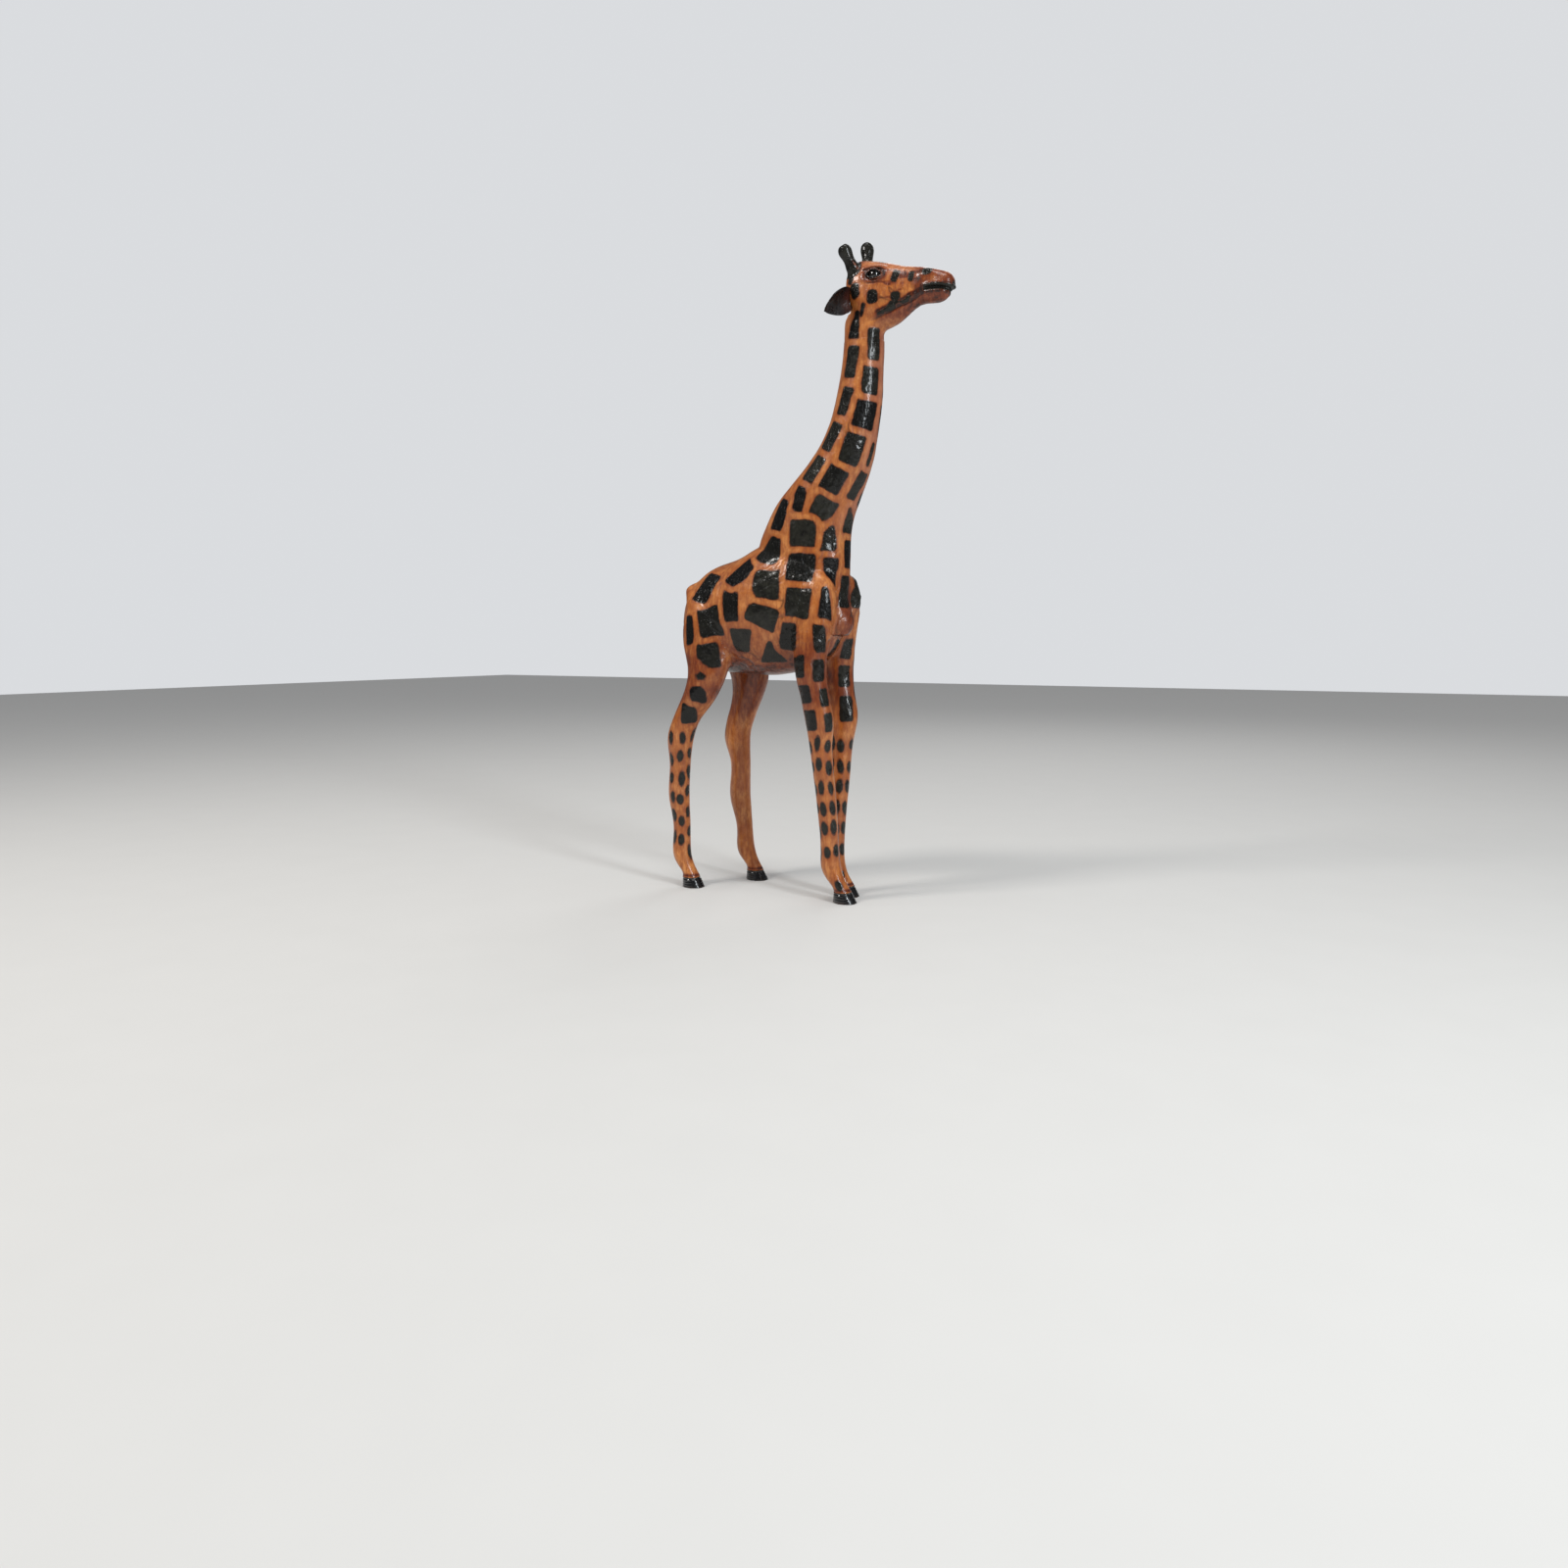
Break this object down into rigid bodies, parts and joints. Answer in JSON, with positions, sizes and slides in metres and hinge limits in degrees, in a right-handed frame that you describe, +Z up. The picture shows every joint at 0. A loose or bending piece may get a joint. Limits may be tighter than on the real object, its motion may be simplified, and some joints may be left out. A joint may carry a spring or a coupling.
{
  "type": "giraffe statue",
  "caption": "Standing giraffe figure: carved wooden core under glued, painted and lacquered leather, with glass eyes, leather ears, short horns and cloven black hooves.",
  "frame": {"origin": "middle of the footprint of the whole figure's bounding box, on the plane the hooves stand on", "axes": "+Z up, +X the way the giraffe faces, +Y to the giraffe's left"},
  "size_m": [0.3364, 0.1076, 0.7204],
  "materials": {
    "core_wood": "carved softwood, unfinished, hidden under the leather",
    "dowel_wood": "plain turned hardwood",
    "hide": "tan leather, painted with near-black patches and lacquered",
    "black_leather": "black painted and lacquered leather",
    "hoof_black": "gloss black lacquer",
    "eye_glass": "polished black glass bead"
  },
  "bodies": {
    "root": {"torso_core": "core_wood", "neck_core": "core_wood", "head_core": "core_wood", "leg_core_fore_right": "core_wood", "leg_core_fore_left": "core_wood", "leg_core_hind_right": "core_wood", "leg_core_hind_left": "core_wood", "torso_hide": "hide", "neck_hide": "hide", "head_hide": "hide", "leg_hide_fore_right": "hide", "leg_hide_fore_left": "hide", "leg_hide_hind_right": "hide", "leg_hide_hind_left": "hide", "neck_dowel": "dowel_wood", "head_dowel": "dowel_wood", "leg_dowels": "dowel_wood", "hoof_pegs": "dowel_wood", "hoof_fore_right": "hoof_black", "hoof_fore_left": "hoof_black", "hoof_hind_right": "hoof_black", "hoof_hind_left": "hoof_black", "horn_right": "black_leather", "ear_right": "black_leather", "eye_right": "eye_glass", "eyelid_right": "hide", "horn_left": "black_leather", "ear_left": "black_leather", "eye_left": "eye_glass", "eyelid_left": "hide", "tail_cord": "hide", "tail_tuft": "black_leather"}
  },
  "joints": []
}
